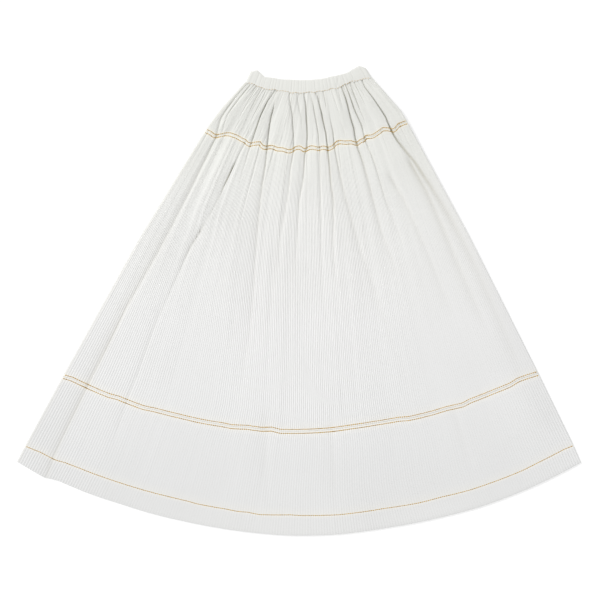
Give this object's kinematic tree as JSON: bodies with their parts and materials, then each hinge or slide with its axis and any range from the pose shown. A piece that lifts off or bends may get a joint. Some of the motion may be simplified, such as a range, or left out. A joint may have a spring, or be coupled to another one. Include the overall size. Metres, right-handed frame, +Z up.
{
  "type": "pleated skirt",
  "caption": "Long flared skirt of finely pleated cloth, laid flat, with a gathered elastic waistband, tiers joined by contrast double stitching and a turned-up hem.",
  "frame": {"origin": "middle of the underside's bounding box, on the surface that the skirt lies on", "axes": "+X across the skirt to the viewer's right, +Y along it from hem to waist, +Z up from the surface, out of the front"},
  "size_m": [1.1564, 0.9592, 0.013],
  "materials": {
    "cloth": "off-white plain-weave synthetic, heat-set in fine pleats, slight soft sheen",
    "thread": "ochre topstitching thread, matt"
  },
  "bodies": {
    "root": {"waistband": "cloth", "upper_tier_front": "cloth", "upper_tier_back": "cloth", "middle_tier_front": "cloth", "middle_tier_back": "cloth", "lower_tier_front": "cloth", "lower_tier_back": "cloth"}
  },
  "joints": []
}
